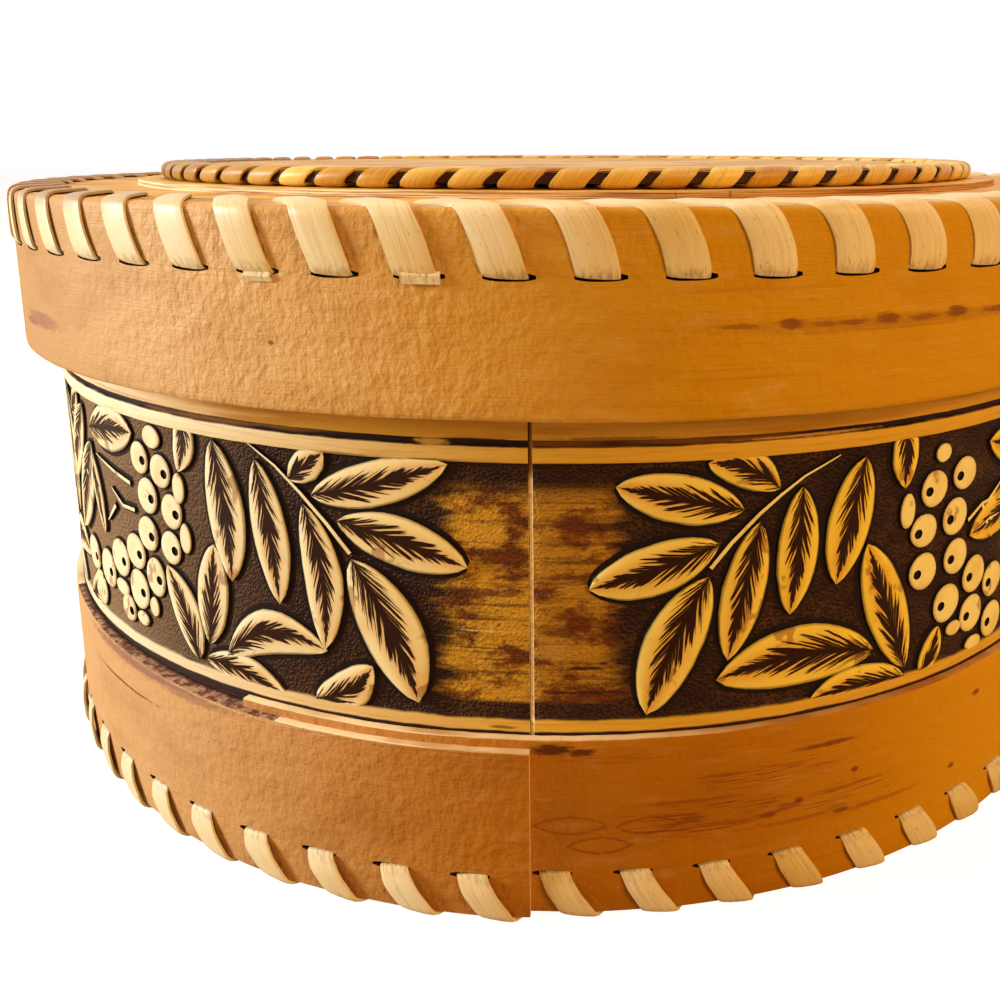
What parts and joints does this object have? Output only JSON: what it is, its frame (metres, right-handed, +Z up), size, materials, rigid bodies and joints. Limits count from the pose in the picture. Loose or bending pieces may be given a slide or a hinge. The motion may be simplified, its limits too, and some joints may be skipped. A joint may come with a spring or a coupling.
{
  "type": "birch bark box",
  "caption": "Round birch bark box with a carved berry and leaf band, and an overlapping lift-off lid whose discs and bands are laced with bast strips.",
  "frame": {"origin": "on the ground plane that the base stitches stand on, on the box's axis", "axes": "+Z up along the box's axis; the front with the bark seam faces -Y; +X to the right seen from the front"},
  "size_m": [0.1864, 0.1864, 0.091],
  "materials": {
    "bark_band": "smooth inner side of birch bark, satin",
    "bark_disc": "cut birch bark with a layered edge, satin",
    "bark_lining": "smooth birch bark lining, satin",
    "bark_carved": "birch bark with a carved pattern in a stained field, satin",
    "bark_mottled": "mottled birch bark, satin",
    "lace": "split bast strip, satin"
  },
  "bodies": {
    "box": {"base_disc": "bark_disc", "base_lining": "bark_lining", "inner_tube": "bark_lining", "carved_wrap": "bark_carved", "base_band": "bark_band", "base_lace_a": "lace", "base_lace_b": "lace", "base_lace_c": "lace", "base_lace_d": "lace"},
    "lid": {"lid_band": "bark_band", "lid_inner_band": "bark_lining", "lid_top": "bark_disc", "lid_lining": "bark_lining", "step_disc": "bark_disc", "laced_disc": "bark_mottled", "rim_lace_a": "lace", "rim_lace_b": "lace", "rim_lace_c": "lace", "disc_lace_a": "lace", "disc_lace_b": "lace", "disc_lace_c": "lace"}
  },
  "joints": [
    {"name": "lid_lift", "type": "slide", "parent": "box", "child": "lid", "axis": [0, 0, 1], "range_m": [0, 0.1]}
  ]
}
